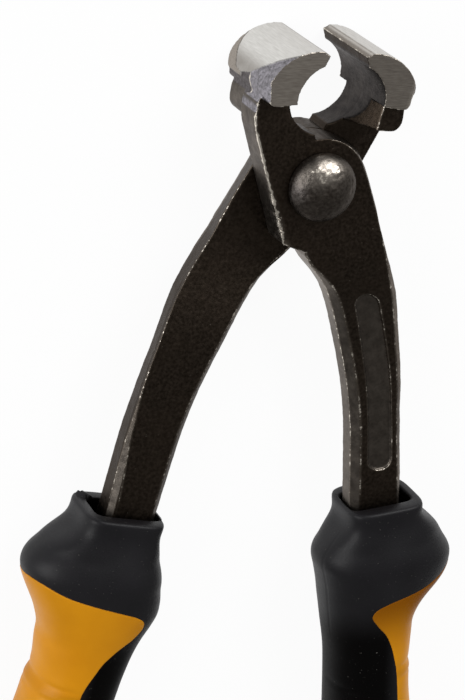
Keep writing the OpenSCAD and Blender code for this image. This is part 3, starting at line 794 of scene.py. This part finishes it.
def inlay(side, name):
    """Amber patch over the palm side, a hair proud, with its edge rounded down into the sleeve."""
    steps = np.concatenate([np.arange(17.92, 34, 0.13), np.arange(34, 95, 0.5), np.arange(95, INLAY_END, 0.16)])
    rows = [(at, span(side, at)) for at in np.round(steps, 3)]
    rows = [(at, *ab) for at, ab in rows if ab and ab[1] - ab[0] > 0.02]
    line = np.concatenate([slanted(side, at, np.array([a, b])) for at, a, b in rows])
    first, last = rows[0], rows[-1]
    for at, a, b in (first, last):
        line = np.concatenate([line, slanted(side, at, np.linspace(a, b, 40))])
    tree = tree_of(line)
    u = (1 - np.cos(np.linspace(0, math.pi, INLAY_COLS))) / 2
    top, under, heights = [], [], []
    for at, a, b in rows:
        angles = a + (b - a) * u
        ring = slanted(side, at, angles)
        d = distances(tree, ring)
        lift = 0.1 - 0.28 * np.clip(1 - d / 0.45, 0, 1) ** 2
        sunk = sum(deep * hump(-ring[:, 1], place, width) for place, width, deep in BANDS)
        top.append(ring + outward(ring) * (lift - sunk * smoothstep(ring[:, 0], -1, 6))[:, None])
        under.append(slanted(side, at, angles, INLAY_T))
        heights.append(d)
    n, m = INLAY_COLS, len(rows)
    faces = []
    for k in range(m - 1):
        for i in range(n - 1):
            a = k * n + i
            faces.append((a, a + n, a + n + 1, a + 1))
            c = a + m * n
            faces.append((c, c + 1, c + n + 1, c + n))
    loop = list(range(n)) + [k * n + n - 1 for k in range(1, m)]
    loop += [(m - 1) * n + i for i in range(n - 2, -1, -1)] + [k * n for k in range(m - 2, 0, -1)]
    for a, b in zip(loop, loop[1:] + loop[:1]):
        faces.append((a, b, b + m * n, a + m * n))
    p = np.concatenate(top + under)
    me = new_object(name + "_amber", p, faces, side, AMBER, name + "_inlay")
    d = np.concatenate(heights + [np.zeros(m * n)])
    float_attribute(me, "rim", np.clip(1 - d / 0.22, 0, 1) * 0.8)
    s = -p[:, 1]
    # Painted shade under the guard, strong on the front grip and faint on the rear one; the inlay is also darker in a
    # narrow band between the two sunk bands
    painted_shade_under_guard = (1 - smoothstep(s, 23, 42)) * (0.95 if side == "front" else 0.08)
    float_attribute(me, "shade", np.maximum(hump(s, 45.8, 1.4) * 0.2, painted_shade_under_guard))
    return tree


def sleeve(side, name, tree):
    """Black sleeve: open collar, guard, finger panel, and the bed under the inlay."""
    sides = SLEEVE_SIDES
    ang = np.linspace(0, 2 * math.pi, sides, endpoint=False)
    c, q = np.cos(ang), np.sin(ang)
    r = (np.abs(c) ** HOLE_POWER + np.abs(q) ** HOLE_POWER) ** (-1 / HOLE_POWER)

    def mouth(s, grow):
        return np.stack([HOLE_X + (HOLE_W + grow) * c * r, np.full(sides, -s), (HOLE_D + grow) * q * r], 1)

    rings = [mouth(s, 0.0) for s in (10.8, 6.0, 3.0, 1.5, 0.9)]
    rings += [mouth(0.45, 0.08), mouth(0.15, 0.3), mouth(0.0, 0.7)]
    rings += [section(side, s, ang, inset) for s, inset in ((0.0, 0.85), (0.1, 0.45), (0.35, 0.16), (0.8, 0.03))]
    # A torn scrap of moulding flash stands on the left mouth
    if side == "rear":
        for ring in rings[6:9]:
            ring[:, 1] += 0.9 * (hump(ang, 0.72, 0.05) + 0.6 * hump(ang, 0.9, 0.03))
    stations = np.concatenate([np.arange(1.4, 14, 0.5), np.arange(14, 34, 0.3), np.arange(34, END_START, 0.8)])
    end_turns = np.radians([0, 15, 30, 45, 57, 68, 77, 84])
    stations = np.concatenate([stations, END_START + END_ROUND * np.sin(end_turns)])
    for s in stations:
        ring = section(side, s, ang)
        bed = section(side, s, ang, BED)
        at = s - lean(s, ring[:, 2])
        inside = (past_border(at, ring[:, 0], ring[:, 2]) > 0) & (at > BORDER_S) & (at < INLAY_END)
        if inside.any():
            k = np.zeros(sides)
            k[inside] = smoothstep(distances(tree, ring[inside]), 0.3, 1.1)
            ring = ring * (1 - k[:, None]) + bed * k[:, None]
        # Mould seam down the finger side, and the groove across the finger panel
        seam = hump(ang, math.pi - 0.3, 0.014) * smoothstep(s, 5, 9) * (1 - smoothstep(s, 32, 36))
        groove = hump(s - ring[:, 0] * 0.12, 51, 0.5) * (ring[:, 0] < 1.5) * smoothstep(q, -0.2, 0.4)
        rings.append(ring - outward(ring) * (0.1 * seam + 0.25 * groove)[:, None])
    count = len(rings)
    faces = [
        (k * sides + i, k * sides + (i + 1) % sides, (k + 1) * sides + (i + 1) % sides, (k + 1) * sides + i)
        for k in range(count - 1) for i in range(sides)
    ]
    faces.append(tuple(range(sides - 1, -1, -1)))
    faces.append(tuple((count - 1) * sides + i for i in range(sides)))
    p = np.concatenate(rings)
    me = new_object(name + "_black", p, faces, side, BLACK, name + "_sleeve")
    s = -p[:, 1]
    # Painted shade: the finger panel and the inside of the mouth are painted deep black
    finger = smoothstep(-p[:, 0], -3, 2) * smoothstep(s, 24, 36)
    painted_mouth_shade = np.zeros(len(p))
    painted_mouth_shade[: 7 * sides] = 1.0
    float_attribute(me, "shade", np.clip(finger + painted_mouth_shade, 0, 1))
    float_attribute(me, "rim", np.zeros(len(p)))


lever("front", "front_lever")
lever("rear", "rear_lever")
rivet()
# The cores lie inside the sleeves and keep their own mesh
for half, grip_name in (("front", "right_grip"), ("rear", "left_grip")):
    sleeve(half, grip_name, inlay(half, grip_name))
    core = frame["nodes"][grip_name + "_core"].data
    core.materials.clear()
    core.materials.append(CORE)


# ---------------------------------------------------------------- floor, light and camera, in metres
FLOOR_HALF = 3.0
FLOOR_COLOUR = (0.86, 0.86, 0.86, 1)
FLOOR_SHOWN = 0.95
# The camera that was fitted to the photograph: focal length and long side in pixels, place and axes
FOCAL_PX = 2427.452
LONG_SIDE_PX = 700
SENSOR_MM = 36
CAMERA_AT = (-0.244679, 0.160686, 0.485509)
CAMERA_RIGHT = (0.910923, 0.143769, 0.386717)
CAMERA_UP = (0.019187, 0.921545, -0.387796)
CAMERA_BACK = (-0.41213, 0.360672, 0.836698)


def floor():
    """Pale floor that shows white, but for the object's shadow."""
    me = bpy.data.meshes.new("floor")
    r = FLOOR_HALF
    me.from_pydata([(-r, -r, 0), (r, -r, 0), (r, r, 0), (-r, r, 0)], [], [(0, 1, 2, 3)])
    ob = added("floor", me)
    ob.location.z = -0.00005
    m = bpy.data.materials.new("floor_white")
    m.use_nodes = True
    nt = m.node_tree
    nt.nodes.clear()
    out = nt.nodes.new("ShaderNodeOutputMaterial")
    diffuse = nt.nodes.new("ShaderNodeBsdfDiffuse")
    diffuse.inputs["Color"].default_value = FLOOR_COLOUR
    emit = nt.nodes.new("ShaderNodeEmission")
    emit.inputs["Strength"].default_value = 1.0
    path = nt.nodes.new("ShaderNodeLightPath")
    seen = maths(nt, "MAXIMUM", path.outputs["Is Camera Ray"], path.outputs["Is Glossy Ray"])
    seen = maths(nt, "MAXIMUM", seen, path.outputs["Is Transmission Ray"])
    mx = nt.nodes.new("ShaderNodeMixShader")
    put(nt, mx.inputs[0], maths(nt, "MULTIPLY", seen, FLOOR_SHOWN))
    put(nt, mx.inputs[1], diffuse.outputs[0])
    put(nt, mx.inputs[2], emit.outputs[0])
    put(nt, out.inputs[0], mx.outputs[0])
    me.materials.append(m)


def world():
    w = bpy.data.worlds.new("studio")
    scene.world = w
    w.use_nodes = True
    bg = w.node_tree.nodes["Background"]
    bg.inputs["Color"].default_value = (1, 0.99, 0.97, 1)
    bg.inputs["Strength"].default_value = 0.27


def area(name, place, size, power, target=(0, -0.05, 0.012)):
    """Soft lamp that faces the tool."""
    light = bpy.data.lights.new(name, "AREA")
    light.shape = "RECTANGLE"
    light.size, light.size_y = size
    light.energy = power
    ob = added(name, light)
    ob.location = place
    ob.rotation_mode = "QUATERNION"
    ob.rotation_quaternion = (Vector(target) - Vector(place)).to_track_quat("-Z", "Y")


floor()
world()
area("left_softbox", (-0.85, 0.05, 0.45), (0.6, 0.7), 6)
area("back_softbox", (0.4, 0.66, 0.6), (0.65, 0.55), 7.5)

camera = bpy.data.cameras.new("camera")
camera.lens = FOCAL_PX * SENSOR_MM / LONG_SIDE_PX
camera.sensor_width = SENSOR_MM
camera.clip_start, camera.clip_end = 0.02, 20
cam = added("camera", camera)
cam.rotation_mode = "QUATERNION"
cam.rotation_quaternion = Matrix((CAMERA_RIGHT, CAMERA_UP, CAMERA_BACK)).transposed().to_quaternion()
cam.location = CAMERA_AT
scene.camera = cam
scene.view_settings.view_transform = "Standard"
